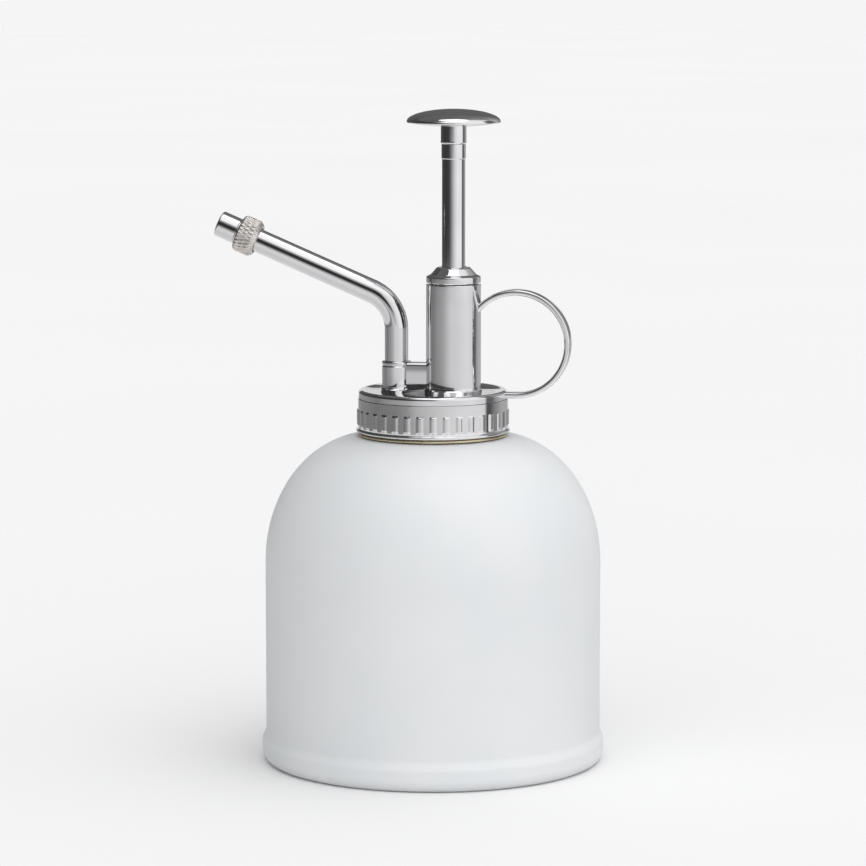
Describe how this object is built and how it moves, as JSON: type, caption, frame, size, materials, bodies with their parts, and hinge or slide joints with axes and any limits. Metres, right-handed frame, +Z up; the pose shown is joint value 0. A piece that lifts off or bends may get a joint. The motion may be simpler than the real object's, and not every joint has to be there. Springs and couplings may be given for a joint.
{
  "type": "hand mister",
  "caption": "Domed white bottle with a chromed screw-on thumb pump, a bent spout with a mist nozzle, and a round finger loop.",
  "frame": {"origin": "centre of the bottle's flat base, on the bottle's axis", "axes": "+Z up along the bottle's axis, -X the way the spout points, +X the finger loop's side"},
  "size_m": [0.1055, 0.092, 0.1752],
  "materials": {
    "white_glass": "white glass with a satin outer surface",
    "chrome": "polished chrome plate",
    "satin_nickel": "satin warm nickel, knurled",
    "brass": "plain turned brass",
    "steel": "stainless steel",
    "white_plastic": "natural white moulding",
    "clear_plastic": "milky extruded tube",
    "rubber": "black moulded rubber"
  },
  "bodies": {
    "bottle": {"bottle": "white_glass"},
    "head": {"pump_body": "white_plastic", "deck_cap": "chrome", "neck_gasket": "rubber", "barrel": "chrome", "barrel_cap": "chrome", "rod_seal": "rubber", "return_spring": "steel", "inlet_valve_cage": "white_plastic", "outlet_valve_spring": "steel", "spout_seal": "rubber", "dip_tube": "clear_plastic", "strainer": "white_plastic", "spout_tube": "chrome", "spout_socket": "chrome", "outlet_bridge": "chrome", "nozzle_stem": "brass", "nozzle_o_ring": "rubber", "swirl_plug": "white_plastic", "finger_loop": "chrome"},
    "collar": {"screw_collar": "chrome", "collar_liner": "brass"},
    "plunger": {"plunger_rod": "chrome", "button_hub": "chrome", "thumb_button": "chrome", "piston": "white_plastic", "piston_seal": "rubber"},
    "nozzle": {"nozzle_ring": "satin_nickel", "nozzle_cap": "chrome"},
    "inlet_ball": {"inlet_valve_ball": "steel"},
    "outlet_ball": {"outlet_valve_ball": "steel"}
  },
  "joints": [
    {"name": "head_lift", "type": "slide", "parent": "bottle", "child": "head", "axis": [0, 0, 1], "range_m": [0, 0.1]},
    {"name": "collar_turn", "type": "hinge", "parent": "head", "child": "collar", "pos_m": [0, 0, 0.093], "axis": [0, 0, 1], "range_deg": [0, 540]},
    {"name": "plunger_press", "type": "slide", "parent": "head", "child": "plunger", "axis": [0, 0, -1], "range_m": [0, 0.028], "stiffness_N_per_m": 310, "springref_m": -0.006, "deforming": ["return_spring"]},
    {"name": "nozzle_turn", "type": "hinge", "parent": "head", "child": "nozzle", "pos_m": [-0.0099, 0, 0.1236], "axis": [-0.9212, 0, 0.3891], "range_deg": [0, 360]},
    {"name": "inlet_ball_lift", "type": "slide", "parent": "head", "child": "inlet_ball", "axis": [0, 0, 1], "range_m": [0, 0.0012]},
    {"name": "outlet_ball_lift", "type": "slide", "parent": "head", "child": "outlet_ball", "axis": [0, 0, 1], "range_m": [0, 0.0012], "stiffness_N_per_m": 60, "springref_m": -0.0008, "deforming": ["outlet_valve_spring"]}
  ]
}
